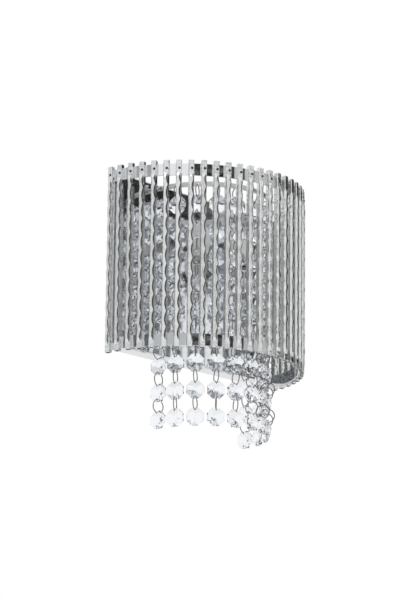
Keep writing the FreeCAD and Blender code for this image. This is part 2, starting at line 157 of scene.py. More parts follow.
def turned_mesh(name, profile, start, direction, sides):
    """A turned piece: (radius, distance) pairs along its axis, closed at both ends."""
    shape = bmesh.new()
    across = Vector((0, 0, 1)) if abs(direction.z) < 0.5 else Vector((1, 0, 0))
    side = direction.cross(across).normalized()
    up = direction.cross(side)
    rings = []
    for radius, distance in profile:
        centre = start + direction * distance
        if radius == 0:
            rings.append([shape.verts.new(centre)])
            continue
        turns = [2 * math.pi * k / sides for k in range(sides)]
        rings.append([shape.verts.new(centre + (side * math.cos(t) + up * math.sin(t)) * radius)
                      for t in turns])
    for lower, upper in zip(rings, rings[1:]):
        for k in range(sides):
            after = (k + 1) % sides
            corners = [lower[k % len(lower)], lower[after % len(lower)],
                       upper[after % len(upper)], upper[k % len(upper)]]
            shape.faces.new(list(dict.fromkeys(corners)))
    bmesh.ops.recalc_face_normals(shape, faces=shape.faces)
    mesh = bpy.data.meshes.new(name)
    shape.to_mesh(mesh)
    shape.free()
    return mesh


def joined_mesh(name, meshes):
    """Several meshes as one."""
    shape = bmesh.new()
    for mesh in meshes:
        shape.from_mesh(mesh)
    result = bpy.data.meshes.new(name)
    shape.to_mesh(result)
    shape.free()
    return result


# Each nut is a hexagon, bevelled (across, along) at its foot and top, with a dome on it.
stud_aside = 0.036
nut_corner_radius = 0.0052
nut_hex_height = 0.0036
nut_foot_bevel = (0.0006, 0.0004)
nut_top_bevel = (0.0005, 0.0003)
dome_radius = 0.0043
dome_sunk = 0.0002
dome_steps = 8
dome_sides = 32
cap_nut_low, cap_nut_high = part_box("cap_nuts")
nut_reach = cap_nut_high.y - cap_nut_low.y
dome_height = nut_reach - nut_hex_height
nut_meshes = []
for side in (-1, 1):
    seat = Vector((side * stud_aside, cap_nut_high.y, 0))
    out = Vector((0, -1, 0))
    hexagon = turned_mesh("nut_flats", [
        (0, 0), (nut_corner_radius - nut_foot_bevel[0], 0), (nut_corner_radius, nut_foot_bevel[1]),
        (nut_corner_radius, nut_hex_height - nut_top_bevel[1]),
        (nut_corner_radius - nut_top_bevel[0], nut_hex_height), (0, nut_hex_height)], seat, out, 6)
    steps = [math.pi / 2 * k / dome_steps for k in range(dome_steps)]
    arc = [(dome_radius * math.cos(t), nut_hex_height + dome_height * math.sin(t)) for t in steps]
    outline = [(0, nut_hex_height - dome_sunk)] + arc + [(0, nut_reach)]
    nut_meshes += [hexagon, turned_mesh("nut_dome", outline, seat, out, dome_sides)]
mesh_piece("domed_cap_nuts", joined_mesh("domed_cap_nuts", nut_meshes), chrome, "root",
           "cap_nuts")

# ---------------------------------------------------------------- bands and their screws
# Two flat chromed steel bands bend round the light and screw to the pan's sides.
# They carry the rods, so they are seen edge on from below and through every gap.
for name in ("top_band", "bottom_band", "band_screws"):
    coat_node(name, chrome)

# ---------------------------------------------------------------- crimped rods
# Thirty aluminium tubes stand round the bands. Each is crimped between rollers, which leaves a ridge
# that snakes down its face with a crease beside it, where shade is painted near black into the colour.
# Both ends stay flat where the tube is riveted to the bands.
rod_count = 30
rod_half_length = 0.075
rod_half_width = 0.0022
rod_depth = 0.0044
rod_flat_face = 0.86
rod_flat_top = 0.0105
rod_flat_foot = 0.005
rod_wall = 0.0005
rod_bore_depth = 0.006
rod_bore_middle = 0.44
rod_seat_radius = 0.0919
rod_end_from_wall = 0.0049
band_straight_depth = 0.013
crimp_length = 0.0127
steps_per_crimp = 12
fade_length = crimp_length / 4
ridge_sideways = 0.0008
side_dent = 0.0006
start_seed = 5

# the rods stand at even turns round the half circle, the two end ones on the bands' straight runs
first_turn = math.asin(rod_end_from_wall / (rod_seat_radius + rod_depth / 2))
rod_places = []
for number in range(rod_count):
    turn = first_turn + (math.pi - 2 * first_turn) * number / (rod_count - 1)
    outward = Vector((-math.cos(turn), -math.sin(turn), 0))
    seat = outward * rod_seat_radius
    if number in (0, rod_count - 1):
        side = -1 if number == 0 else 1
        outward = Vector((side, 0, 0))
        aside = math.sqrt(rod_seat_radius ** 2 - band_straight_depth ** 2)
        seat = Vector((side * aside, -rod_end_from_wall, 0))
    rod_places.append((seat, outward))


def places_mesh(name, places):
    """Points for a tree to stand its copies on, with the way that each one faces."""
    mesh = bpy.data.meshes.new(name)
    mesh.from_pydata([seat for seat, outward in places], [], [])
    facing = mesh.attributes.new("facing", "FLOAT_VECTOR", "POINT")
    facing.data.foreach_set("vector", [c for seat, outward in places for c in outward])
    return mesh


def straight_rod():
    """One tube before crimping: across is x, outwards is y, with a short open bore at each end."""
    shape = bmesh.new()
    snake_share = shape.verts.layers.float.new("snake_share")
    dent_share = shape.verts.layers.float.new("dent_share")
    crease_shade_share = shape.verts.layers.float.new("crease_shade")
    # points round the tube: across and outwards as shares of half width and depth, outwards at the flat
    # ends, how far each goes with the ridge's snaking and with a side's dent, and 1 in the crease, where
    # painted shade goes
    section = [(1.0, 0.0, 0.0, 0.0, 0.0, 0), (-1.0, 0.0, 0.0, 0.0, 0.0, 0),
               (-1.0, 0.3, 0.36, 0.0, 0.0, 0), (-1.0, 0.66, 0.792, 0.0, -0.3, 0),
               (-0.84, 0.92, rod_flat_face, 0.3, -0.1, 0), (-0.6, 0.78, rod_flat_face, 0.8, 0.0, 1),
               (-0.4, 0.98, rod_flat_face, 1.0, 0.0, 0), (0.5, 0.98, rod_flat_face, 0.4, 0.0, 0),
               (0.82, 0.84, rod_flat_face, 0.1, 0.2, 0), (1.0, 0.62, 0.744, 0.0, 0.2, 0),
               (1.0, 0.3, 0.36, 0.0, 0.0, 0)]
    crimp_low = rod_flat_foot - rod_half_length
    crimp_high = rod_half_length - rod_flat_top
    crimped = crimp_high - crimp_low
    step_count = round(crimped / (crimp_length / steps_per_crimp))
    levels = [crimp_low + crimped * k / step_count for k in range(step_count + 1)]
    levels = [-rod_half_length] + levels + [rod_half_length]
    rings = []
    for level in levels:
        from_end = min(crimp_high - level, level - crimp_low)
        fade = min(1.0, max(0.0, from_end / fade_length))
        ring = []
        for x, y, flat_y, snake, dent, crease_shade in section:
            reach = (flat_y + (y - flat_y) * fade) * rod_depth
            vert = shape.verts.new((x * rod_half_width, reach, level))
            vert[snake_share] = snake * fade
            vert[dent_share] = dent * fade
            vert[crease_shade_share] = crease_shade * fade
            ring.append(vert)
        rings.append(ring)
    count = len(section)
    for lower, upper in zip(rings, rings[1:]):
        for k in range(count):
            after = (k + 1) % count
            shape.faces.new([lower[k], lower[after], upper[after], upper[k]])
    for ring, end in ((rings[0], -1), (rings[-1], 1)):
        centre = Vector((0, rod_depth * rod_bore_middle, 0))
        mouth = []
        floor = []
        for vert in ring:
            inward = Vector((vert.co.x, vert.co.y, 0)) - centre
            edge = centre + inward * (1 - rod_wall / inward.length)
            mouth.append(shape.verts.new((edge.x, edge.y, vert.co.z)))
            floor.append(shape.verts.new((edge.x, edge.y, vert.co.z - end * rod_bore_depth)))
        for k in range(count):
            after = (k + 1) % count
            shape.faces.new([ring[k], ring[after], mouth[after], mouth[k]])
            shape.faces.new([mouth[k], mouth[after], floor[after], floor[k]])
        shape.faces.new(floor)
    bmesh.ops.recalc_face_normals(shape, faces=shape.faces)
    mesh = bpy.data.meshes.new("straight_rod")
    shape.to_mesh(mesh)
    shape.free()
    return mesh


def new_geometry_tree(name, sizes):
    """A Geometry Nodes tree with a mesh of places coming in and named inputs for its sizes."""
    tree = bpy.data.node_groups.new(name, "GeometryNodeTree")
    tree.interface.new_socket("Places", in_out="INPUT", socket_type="NodeSocketGeometry")
    tree.interface.new_socket("Result", in_out="OUTPUT", socket_type="NodeSocketGeometry")
    for label, kind in sizes.items():
        tree.interface.new_socket(label, in_out="INPUT", socket_type=kind)
    return tree


def run_tree(tree, places, values, name):
    """Puts the tree on the places, sets its inputs by identifier and returns the plain mesh."""
    holder = bpy.data.objects.new(name, places)
    bpy.context.scene.collection.objects.link(holder)
    modifier = holder.modifiers.new("build", "NODES")
    modifier.node_group = tree
    for item in tree.interface.items_tree:
        if item.item_type == "SOCKET" and item.in_out == "INPUT" and item.name in values:
            modifier[item.identifier] = values[item.name]
    bpy.context.view_layer.update()
    evaluated = holder.evaluated_get(bpy.context.evaluated_depsgraph_get())
    mesh = bpy.data.meshes.new_from_object(evaluated)
    mesh.name = name
    holder.modifiers.clear()
    bpy.data.objects.remove(holder)
    for spent in ("facing", "snake_share", "dent_share", "start"):
        if spent in mesh.attributes:
            mesh.attributes.remove(mesh.attributes[spent])
    return mesh


# Crimped aluminium: bright rolled tube with drawing lines 0.25 mm apart along its length that soften the
# gloss. The rollers leave press marks about 2.2 mm across, which break up what it mirrors. In the crease
# beside the ridge a near-black shade is painted into the colour, standing in for the light that can't
# get out of it.
aluminium, tree = new_finish("crimped_aluminium")
place = add_node(tree, "ShaderNodeTexCoord")
line_gap = 0.00025
line_length = 0.012
press_mark_size = 0.0022
draw_lines = add_node(tree, "ShaderNodeMapping", None,
                      {"Vector": place.outputs["Object"],
                       "Scale": (1 / line_gap, 1 / line_gap, 1 / line_length)})
lines = add_node(tree, "ShaderNodeTexNoise", None,
                 {"Vector": draw_lines.outputs[0], "Scale": 1.0, "Detail": 3.0})
tint = add_node(tree, "ShaderNodeMix", {"data_type": "RGBA"},
                {0: lines.outputs["Fac"], 6: linear("#d0d1d1"), 7: linear("#ecedec")})
satin = add_node(tree, "ShaderNodeMapRange", None,
                 {"Value": lines.outputs["Fac"], "To Min": 0.1, "To Max": 0.18})
# painted shade: the colour is mixed toward near black #1e1e20 along the crease points
crease_shade = add_node(tree, "ShaderNodeAttribute", {"attribute_name": "crease_shade"})
crease_shade_line = add_node(tree, "ShaderNodeMath", {"operation": "POWER"},
                       {0: crease_shade.outputs["Fac"], 1: 0.8})
crease_shaded = add_node(tree, "ShaderNodeMix", {"data_type": "RGBA"},
                   {0: crease_shade_line.outputs[0], 6: tint.outputs[2], 7: linear("#1e1e20")})
press_marks = add_node(tree, "ShaderNodeTexNoise", None,
                       {"Vector": place.outputs["Object"], "Scale": 1 / press_mark_size, "Detail": 2.0})
pressed = add_node(tree, "ShaderNodeBump", None,
                   {"Height": press_marks.outputs["Fac"], "Strength": 0.7, "Distance": 0.0006})
grooves = add_node(tree, "ShaderNodeBump", None,
                   {"Height": lines.outputs["Fac"], "Strength": 0.12, "Distance": 0.0001,
                    "Normal": pressed.outputs[0]})
tube = add_node(tree, "ShaderNodeBsdfPrincipled", None,
                {"Base Color": crease_shaded.outputs[2], "Metallic": 1.0, "Roughness": satin.outputs[0],
                 "Normal": grooves.outputs[0]})
add_node(tree, "ShaderNodeOutputMaterial", None, {"Surface": tube.outputs[0]})

rod_pattern = bpy.data.objects.new("rod_pattern", straight_rod())
bpy.context.scene.collection.objects.link(rod_pattern)
crimping = new_geometry_tree("crimped_rods", {
    "Rod": "NodeSocketObject", "Crimp length": "NodeSocketFloat", "Ridge sideways": "NodeSocketFloat",
    "Dent": "NodeSocketFloat", "Seed": "NodeSocketInt", "Finish": "NodeSocketMaterial"})
sizes = add_node(crimping, "NodeGroupInput")
facing = add_node(crimping, "GeometryNodeInputNamedAttribute", {"data_type": "FLOAT_VECTOR"},
                  {"Name": "facing"})
chance = add_node(crimping, "FunctionNodeRandomValue", {"data_type": "FLOAT"},
                  {"Seed": sizes.outputs["Seed"]})
started = add_node(crimping, "GeometryNodeStoreNamedAttribute",
                   {"data_type": "FLOAT", "domain": "POINT"},
                   {"Geometry": sizes.outputs["Places"], "Name": "start", "Value": chance.outputs[1]})
aim = add_node(crimping, "FunctionNodeAlignRotationToVector", {"axis": "Y", "pivot_axis": "Z"},
               {"Vector": facing.outputs[0]})
pattern = add_node(crimping, "GeometryNodeObjectInfo", None, {"Object": sizes.outputs["Rod"]})
stood = add_node(crimping, "GeometryNodeInstanceOnPoints", None,
                 {"Points": started.outputs[0], "Instance": pattern.outputs["Geometry"],
                  "Rotation": aim.outputs[0]})
solid = add_node(crimping, "GeometryNodeRealizeInstances", None, {"Geometry": stood.outputs[0]})
start = add_node(crimping, "GeometryNodeInputNamedAttribute", {"data_type": "FLOAT"}, {"Name": "start"})
snake_share = add_node(crimping, "GeometryNodeInputNamedAttribute", {"data_type": "FLOAT"},
                       {"Name": "snake_share"})
dent_share = add_node(crimping, "GeometryNodeInputNamedAttribute", {"data_type": "FLOAT"},
                      {"Name": "dent_share"})
position = add_node(crimping, "GeometryNodeInputPosition")
height = add_node(crimping, "ShaderNodeSeparateXYZ", None, {"Vector": position.outputs[0]})
waves = add_node(crimping, "ShaderNodeMath", {"operation": "DIVIDE"},
                 {0: height.outputs["Z"], 1: sizes.outputs["Crimp length"]})
shifted = add_node(crimping, "ShaderNodeMath", {"operation": "ADD"},
                   {0: waves.outputs[0], 1: start.outputs[0]})
angle = add_node(crimping, "ShaderNodeMath", {"operation": "MULTIPLY"},
                 {0: shifted.outputs[0], 1: math.pi})
wave = add_node(crimping, "ShaderNodeMath", {"operation": "SINE"}, {0: angle.outputs[0]})
arches = add_node(crimping, "ShaderNodeMath", {"operation": "ABSOLUTE"}, {0: wave.outputs[0]})
# arches from -1 to 1 that meet in cusps, one for each bite of the rollers
snake = add_node(crimping, "ShaderNodeMath", {"operation": "MULTIPLY_ADD"},
                 {0: arches.outputs[0], 1: 2.0, 2: -1.0})
side_way = add_node(crimping, "ShaderNodeVectorMath", {"operation": "CROSS_PRODUCT"},
                    {0: facing.outputs[0], 1: (0, 0, 1)})
snake_size = add_node(crimping, "ShaderNodeMath", {"operation": "MULTIPLY"},
                      {0: sizes.outputs["Ridge sideways"], 1: snake_share.outputs[0]})
snake_move = add_node(crimping, "ShaderNodeMath", {"operation": "MULTIPLY"},
                      {0: snake_size.outputs[0], 1: snake.outputs[0]})
# a side is dented only where the ridge leans away from it, so the dents alternate
lean = add_node(crimping, "ShaderNodeMath", {"operation": "MULTIPLY"},
                {0: dent_share.outputs[0], 1: snake.outputs[0]})
away = add_node(crimping, "ShaderNodeMath", {"operation": "MINIMUM"}, {0: lean.outputs[0], 1: 0.0})
dent = add_node(crimping, "ShaderNodeMath", {"operation": "MULTIPLY"},
                {0: away.outputs[0], 1: sizes.outputs["Dent"]})
dent_side = add_node(crimping, "ShaderNodeMath", {"operation": "SIGN"}, {0: dent_share.outputs[0]})
dent_move = add_node(crimping, "ShaderNodeMath", {"operation": "MULTIPLY"},
                     {0: dent.outputs[0], 1: dent_side.outputs[0]})
side_move = add_node(crimping, "ShaderNodeMath", {"operation": "ADD"},
                     {0: snake_move.outputs[0], 1: dent_move.outputs[0]})
side_offset = add_node(crimping, "ShaderNodeVectorMath", {"operation": "SCALE"},
                       {0: side_way.outputs[0], "Scale": side_move.outputs[0]})
out_offset = add_node(crimping, "ShaderNodeVectorMath", {"operation": "SCALE"},
                      {0: facing.outputs[0], "Scale": dent.outputs[0]})
offset = add_node(crimping, "ShaderNodeVectorMath", {"operation": "ADD"},
                  {0: side_offset.outputs[0], 1: out_offset.outputs[0]})
crimped = add_node(crimping, "GeometryNodeSetPosition", None,
                   {"Geometry": solid.outputs[0], "Offset": offset.outputs[0]})
finished = add_node(crimping, "GeometryNodeSetMaterial", None,
                    {"Geometry": crimped.outputs[0], "Material": sizes.outputs["Finish"]})
add_node(crimping, "NodeGroupOutput", None, {"Result": finished.outputs[0]})

rods_mesh = run_tree(crimping, places_mesh("rod_places", rod_places),
                     {"Rod": rod_pattern, "Crimp length": crimp_length, "Ridge sideways": ridge_sideways,
                      "Dent": side_dent, "Seed": start_seed, "Finish": aluminium}, "crimped_rods")
bpy.data.objects.remove(rod_pattern)
mesh_piece("crimped_rods", rods_mesh, aluminium, "root", "shade_rods")

# ---------------------------------------------------------------- rivets
# A small steel rivet closes over the top end of every rod and holds it to the band.
# Its dark head sits a little aside from the middle of the rod's flat face.
rivet_level = 0.0683
rivet_aside = 0.0006
rivet_radius = 0.0011
rivet_crown_radius = rivet_radius * 0.75
rivet_sunk = 0.0004
rivet_rim = 0.0001
rivet_shoulder = 0.0004
rivet_crown = 0.0005
rivet_pattern_mesh = turned_mesh("rivet_pattern", [
    (0, -rivet_sunk), (rivet_radius, -rivet_sunk), (rivet_radius, rivet_rim),
    (rivet_crown_radius, rivet_shoulder), (0, rivet_crown)], Vector((0, 0, 0)), Vector((0, 1, 0)), 10)
rivet_pattern = bpy.data.objects.new("rivet_pattern", rivet_pattern_mesh)
bpy.context.scene.collection.objects.link(rivet_pattern)

# Pressed rivet steel: dull and darker than the rods, with dints about 0.6 mm across from
# the press tool that closed it.
rivet_steel, tree = new_finish("rivet_steel")
place = add_node(tree, "ShaderNodeTexCoord")
dint_size = 0.0006
press = add_node(tree, "ShaderNodeTexNoise", None,
                 {"Vector": place.outputs["Object"], "Scale": 1 / dint_size, "Detail": 2.0})
tint = add_node(tree, "ShaderNodeMix", {"data_type": "RGBA"},
                {0: press.outputs["Fac"], 6: linear("#303032"), 7: linear("#4c4c4f")})
head = add_node(tree, "ShaderNodeBsdfPrincipled", None,
                {"Base Color": tint.outputs[2], "Metallic": 1.0, "Roughness": 0.38})
add_node(tree, "ShaderNodeOutputMaterial", None, {"Surface": head.outputs[0]})

riveting = new_geometry_tree("rivets", {"Rivet": "NodeSocketObject", "Finish": "NodeSocketMaterial"})
sizes = add_node(riveting, "NodeGroupInput")
facing = add_node(riveting, "GeometryNodeInputNamedAttribute", {"data_type": "FLOAT_VECTOR"},
                  {"Name": "facing"})
aim = add_node(riveting, "FunctionNodeAlignRotationToVector", {"axis": "Y", "pivot_axis": "Z"},
               {"Vector": facing.outputs[0]})
pattern = add_node(riveting, "GeometryNodeObjectInfo", None, {"Object": sizes.outputs["Rivet"]})
stood = add_node(riveting, "GeometryNodeInstanceOnPoints", None,
                 {"Points": sizes.outputs["Places"], "Instance": pattern.outputs["Geometry"],
                  "Rotation": aim.outputs[0]})
solid = add_node(riveting, "GeometryNodeRealizeInstances", None, {"Geometry": stood.outputs[0]})
finished = add_node(riveting, "GeometryNodeSetMaterial", None,
                    {"Geometry": solid.outputs[0], "Material": sizes.outputs["Finish"]})
add_node(riveting, "NodeGroupOutput", None, {"Result": finished.outputs[0]})

rivet_places = []
for seat, outward in rod_places:
    aside = outward.cross(Vector((0, 0, -1))) * rivet_aside
    head = seat + outward * rod_depth * rod_flat_face + aside + Vector((0, 0, rivet_level))
    rivet_places.append((head, outward))
rivets_mesh = run_tree(riveting, places_mesh("rivet_places", rivet_places),
                       {"Rivet": rivet_pattern, "Finish": rivet_steel}, "rod_rivets")
bpy.data.objects.remove(rivet_pattern)
mesh_piece("rod_rivets", rivets_mesh, rivet_steel, "root", None, True)

# ---------------------------------------------------------------- crystal hoop
# A strip of steel, chromed to a satin, is bent to a half circle, and the strings hang from
# eleven holes pierced in it. Its two tabs are screwed to the pan.

# Satin chrome: the strip is plated as it was rolled, so its gloss spreads into a soft grey,
# in streaks about 20 mm long and 2 mm high.
satin_chrome, tree = new_finish("satin_chrome")
place = add_node(tree, "ShaderNodeTexCoord")
streak_length = 0.02
streak_height = 0.002
rolling = add_node(tree, "ShaderNodeMapping", None,
                   {"Vector": place.outputs["Object"],
                    "Scale": (1 / streak_length, 1 / streak_length, 1 / streak_height)})
streaks = add_node(tree, "ShaderNodeTexNoise", None,
                   {"Vector": rolling.outputs[0], "Scale": 1.0, "Detail": 3.0})
sheen = add_node(tree, "ShaderNodeMapRange", None,
                 {"Value": streaks.outputs["Fac"], "To Min": 0.34, "To Max": 0.5})
strip = add_node(tree, "ShaderNodeBsdfPrincipled", None,
                 {"Base Color": linear("#c9cbcd"), "Metallic": 1.0, "Roughness": sheen.outputs[0]})
add_node(tree, "ShaderNodeOutputMaterial", None, {"Surface": strip.outputs[0]})
coat_node("crystal_hoop", satin_chrome)
coat_node("hoop_screws", chrome)

# ---------------------------------------------------------------- crystal strings
# Each string is nine cut octagons of clear crystal joined by nickel wire links, which
# pass through the two holes in each octagon. Links and octagons hang a little askew.
bead_count = 9
bead_sides = 8
bead_half_width = 0.007
bead_corner = bead_half_width / math.cos(math.pi / bead_sides)
bead_half_rim = 0.001
bead_point = 0.00325
bead_star = 0.0044
bead_hole_offset = 0.0053
bead_hole_radius = 0.0007
bead_bore_reach = 0.004
bead_most_twist = math.radians(4)
link_radius = 0.00543
link_wire_radius = 0.00042
link_most_twist = math.radians(14)
link_first_seed = 40

# Cut crystal: lead glass, ground and polished flat on every facet, so that each one bends
# the room its own way; water clear, with sharp bright and dark patches side by side. Its
# polish differs a little from place to place, in patches about 4 mm across.
crystal, tree = new_finish("cut_crystal")
place = add_node(tree, "ShaderNodeTexCoord")
polish_patch = 0.004
polish = add_node(tree, "ShaderNodeTexNoise", None,
                  {"Vector": place.outputs["Object"], "Scale": 1 / polish_patch, "Detail": 1.0})
polished = add_node(tree, "ShaderNodeMapRange", None,
                    {"Value": polish.outputs["Fac"], "To Min": 0.0, "To Max": 0.03})
glass = add_node(tree, "ShaderNodeBsdfPrincipled", None,
                 {"Base Color": linear("#f4f6f9"), "Roughness": polished.outputs[0], "IOR": 1.55,
                  "Transmission Weight": 1.0})
add_node(tree, "ShaderNodeOutputMaterial", None, {"Surface": glass.outputs[0]})

# Nickel-plated steel wire: drawn, bent and plated, warmer and darker than the chrome, its
# tone changing every 1.5 mm or so where the bending tool has scuffed it.
nickel, tree = new_finish("nickel_wire")
place = add_node(tree, "ShaderNodeTexCoord")
scuff_size = 0.0015
scuffs = add_node(tree, "ShaderNodeTexNoise", None,
                  {"Vector": place.outputs["Object"], "Scale": 1 / scuff_size, "Detail": 2.0})
tint = add_node(tree, "ShaderNodeMix", {"data_type": "RGBA"},
                {0: scuffs.outputs["Fac"], 6: linear("#6c6a68"), 7: linear("#9c9a97")})
wire = add_node(tree, "ShaderNodeBsdfPrincipled", None,
                {"Base Color": tint.outputs[2], "Metallic": 1.0, "Roughness": 0.2})
add_node(tree, "ShaderNodeOutputMaterial", None, {"Surface": wire.outputs[0]})


def cut_octagon():
    """An octagon, still without holes, with eight kites and eight rim triangles on each side."""
    shape = bmesh.new()
    rims = []
    for side in (-1, 1):
        point = shape.verts.new((0, side * bead_point, 0))
        slope = (bead_point - bead_half_rim) / bead_corner
        star_height = bead_point - slope * bead_star * math.cos(math.pi / bead_sides)
        star = []
        rim = []
        for k in range(bead_sides):
            turn = 2 * math.pi / bead_sides * k
            star.append(shape.verts.new((bead_star * math.cos(turn), side * star_height,
                                         bead_star * math.sin(turn))))
            corner = turn + math.pi / bead_sides
            rim.append(shape.verts.new((bead_corner * math.cos(corner), side * bead_half_rim,
                                        bead_corner * math.sin(corner))))
        for k in range(bead_sides):
            after = (k + 1) % bead_sides
            shape.faces.new([point, star[k], rim[k], star[after]])
            shape.faces.new([star[after], rim[k], rim[after]])
        rims.append(rim)
    for k in range(bead_sides):
        after = (k + 1) % bead_sides
        shape.faces.new([rims[0][k], rims[0][after], rims[1][after], rims[1][k]])
    bmesh.ops.recalc_face_normals(shape, faces=shape.faces)
    mesh = bpy.data.meshes.new("cut_octagon")
    shape.to_mesh(mesh)
    shape.free()
    return mesh


def pierced(mesh):
    """The octagon with its two holes bored through."""
    profile = [(0, -bead_bore_reach), (bead_hole_radius, -bead_bore_reach),
               (bead_hole_radius, bead_bore_reach), (0, bead_bore_reach)]
    bores = joined_mesh("bores", [
        turned_mesh("bore", profile, Vector((0, 0, level * bead_hole_offset)), Vector((0, 1, 0)), 8)
        for level in (-1, 1)])
    octagon = bpy.data.objects.new("octagon", mesh)
    cutter = bpy.data.objects.new("cutter", bores)
    bpy.context.scene.collection.objects.link(octagon)
    bpy.context.scene.collection.objects.link(cutter)
    cut = octagon.modifiers.new("holes", "BOOLEAN")
    cut.operation = "DIFFERENCE"
    cut.object = cutter
    bpy.context.view_layer.update()
    evaluated = octagon.evaluated_get(bpy.context.evaluated_depsgraph_get())
    result = bpy.data.meshes.new_from_object(evaluated)
    bpy.data.objects.remove(cutter)
    bpy.data.objects.remove(octagon)
    return result


def wire_link():
    """A round link in the plane across the octagons' holes."""
    shape = bmesh.new()
    round_steps = 20
    wire_steps = 6
    rings = []
    for k in range(round_steps):
        turn = 2 * math.pi * k / round_steps
        ring = []
        for j in range(wire_steps):
            roll = 2 * math.pi * j / wire_steps
            reach = link_radius + link_wire_radius * math.cos(roll)
            ring.append(shape.verts.new((link_wire_radius * math.sin(roll), reach * math.sin(turn),
                                         reach * math.cos(turn))))
        rings.append(ring)
    for k in range(round_steps):
        for j in range(wire_steps):
            beside = (j + 1) % wire_steps
            after = (k + 1) % round_steps
            shape.faces.new([rings[k][j], rings[k][beside], rings[after][beside], rings[after][j]])
    bmesh.ops.recalc_face_normals(shape, faces=shape.faces)
    mesh = bpy.data.meshes.new("wire_link")
    shape.to_mesh(mesh)
    shape.free()
    return mesh


stringing = new_geometry_tree("string_of_pieces", {
    "Piece": "NodeSocketObject", "Count": "NodeSocketInt", "Pitch": "NodeSocketFloat",
    "First drop": "NodeSocketFloat", "Most twist": "NodeSocketFloat", "Seed": "NodeSocketInt",
    "Finish": "NodeSocketMaterial"})
sizes = add_node(stringing, "NodeGroupInput")
facing = add_node(stringing, "GeometryNodeInputNamedAttribute", {"data_type": "FLOAT_VECTOR"},
                  {"Name": "facing"})
sink = add_node(stringing, "ShaderNodeMath", {"operation": "MULTIPLY"},
                {0: sizes.outputs["First drop"], 1: -1.0})
first_level = add_node(stringing, "ShaderNodeCombineXYZ", None, {"Z": sink.outputs[0]})
fall = add_node(stringing, "ShaderNodeMath", {"operation": "MULTIPLY"},
                {0: sizes.outputs["Pitch"], 1: -1.0})
step_down = add_node(stringing, "ShaderNodeCombineXYZ", None, {"Z": fall.outputs[0]})
levels = add_node(stringing, "GeometryNodeMeshLine", {"mode": "OFFSET"},
                  {"Count": sizes.outputs["Count"], "Start Location": first_level.outputs[0],
                   "Offset": step_down.outputs[0]})
most = sizes.outputs["Most twist"]
least = add_node(stringing, "ShaderNodeMath", {"operation": "MULTIPLY"}, {0: most, 1: -1.0})
twist = add_node(stringing, "FunctionNodeRandomValue", {"data_type": "FLOAT"},
                 {2: least.outputs[0], 3: most, "Seed": sizes.outputs["Seed"]})
turned_by = add_node(stringing, "ShaderNodeCombineXYZ", None, {"Z": twist.outputs[1]})
pattern = add_node(stringing, "GeometryNodeObjectInfo", None, {"Object": sizes.outputs["Piece"]})
hung = add_node(stringing, "GeometryNodeInstanceOnPoints", None,
                {"Points": levels.outputs[0], "Instance": pattern.outputs["Geometry"],
                 "Rotation": turned_by.outputs[0]})
aim = add_node(stringing, "FunctionNodeAlignRotationToVector", {"axis": "Y", "pivot_axis": "Z"},
               {"Vector": facing.outputs[0]})
on_hoop = add_node(stringing, "GeometryNodeInstanceOnPoints", None,
                   {"Points": sizes.outputs["Places"], "Instance": hung.outputs[0],
                    "Rotation": aim.outputs[0]})
solid = add_node(stringing, "GeometryNodeRealizeInstances", None, {"Geometry": on_hoop.outputs[0]})
finished = add_node(stringing, "GeometryNodeSetMaterial", None,
                    {"Geometry": solid.outputs[0], "Material": sizes.outputs["Finish"]})
add_node(stringing, "NodeGroupOutput", None, {"Result": finished.outputs[0]})

octagon_pattern = bpy.data.objects.new("octagon_pattern", pierced(cut_octagon()))
link_pattern = bpy.data.objects.new("link_pattern", wire_link())
for pattern_piece in (octagon_pattern, link_pattern):
    bpy.context.scene.collection.objects.link(pattern_piece)
string_pitch = 2 * (bead_hole_offset + link_radius)
for joint in frame["joints"]:
    body = joint["child"]
    number = int(body[-2:])
    hook = Vector(joint["pos_m"])
    axis = Vector(joint["axis"])
    outward = Vector((-axis.y, axis.x, 0))
    hoop_place = places_mesh(body + "_hook", [(hook, outward)])
    octagons = run_tree(stringing, hoop_place,
                        {"Piece": octagon_pattern, "Count": bead_count, "Pitch": string_pitch,
                         "First drop": 2 * link_radius + bead_hole_offset, "Most twist": bead_most_twist,
                         "Seed": number, "Finish": crystal}, body + "_octagons")
    mesh_piece(body + "_octagons", octagons, crystal, body, body + "_crystals")
    hoop_place = places_mesh(body + "_hook", [(hook, outward)])
    links = run_tree(stringing, hoop_place,
                     {"Piece": link_pattern, "Count": bead_count, "Pitch": string_pitch,
                      "First drop": link_radius, "Most twist": link_most_twist,
                      "Seed": link_first_seed + number, "Finish": nickel}, body + "_wire_links")
    mesh_piece(body + "_wire_links", links, nickel, body, body + "_links", True)
for pattern_piece in (octagon_pattern, link_pattern):
    bpy.data.objects.remove(pattern_piece)

# ---------------------------------------------------------------- lamps
# Two bent steel arms are screwed to the pan. Each carries a ceramic two-pin holder with
# its opening down, and a small clear capsule lamp whose pinch is pushed into it.
for name in ("lamp_arms", "arm_screws", "holder_screws", "lamp_pins"):
    coat_node(name, zinc_plate)

# Glazed steatite: cast ceramic, off-white, with a soft shine and specks 1 mm apart.
ceramic, tree = new_finish("ceramic")
place = add_node(tree, "ShaderNodeTexCoord")
speck_gap = 0.001
specks = add_node(tree, "ShaderNodeTexNoise", None,
                  {"Vector": place.outputs["Object"], "Scale": 1 / speck_gap, "Detail": 2.0})
tint = add_node(tree, "ShaderNodeMix", {"data_type": "RGBA"},
                {0: specks.outputs["Fac"], 6: linear("#f6f6f4"), 7: linear("#ffffff")})
glaze = add_node(tree, "ShaderNodeBsdfPrincipled", None,
                 {"Base Color": tint.outputs[2], "Roughness": 0.32})
add_node(tree, "ShaderNodeOutputMaterial", None, {"Surface": glaze.outputs[0]})
coat_node("lampholders", ceramic)

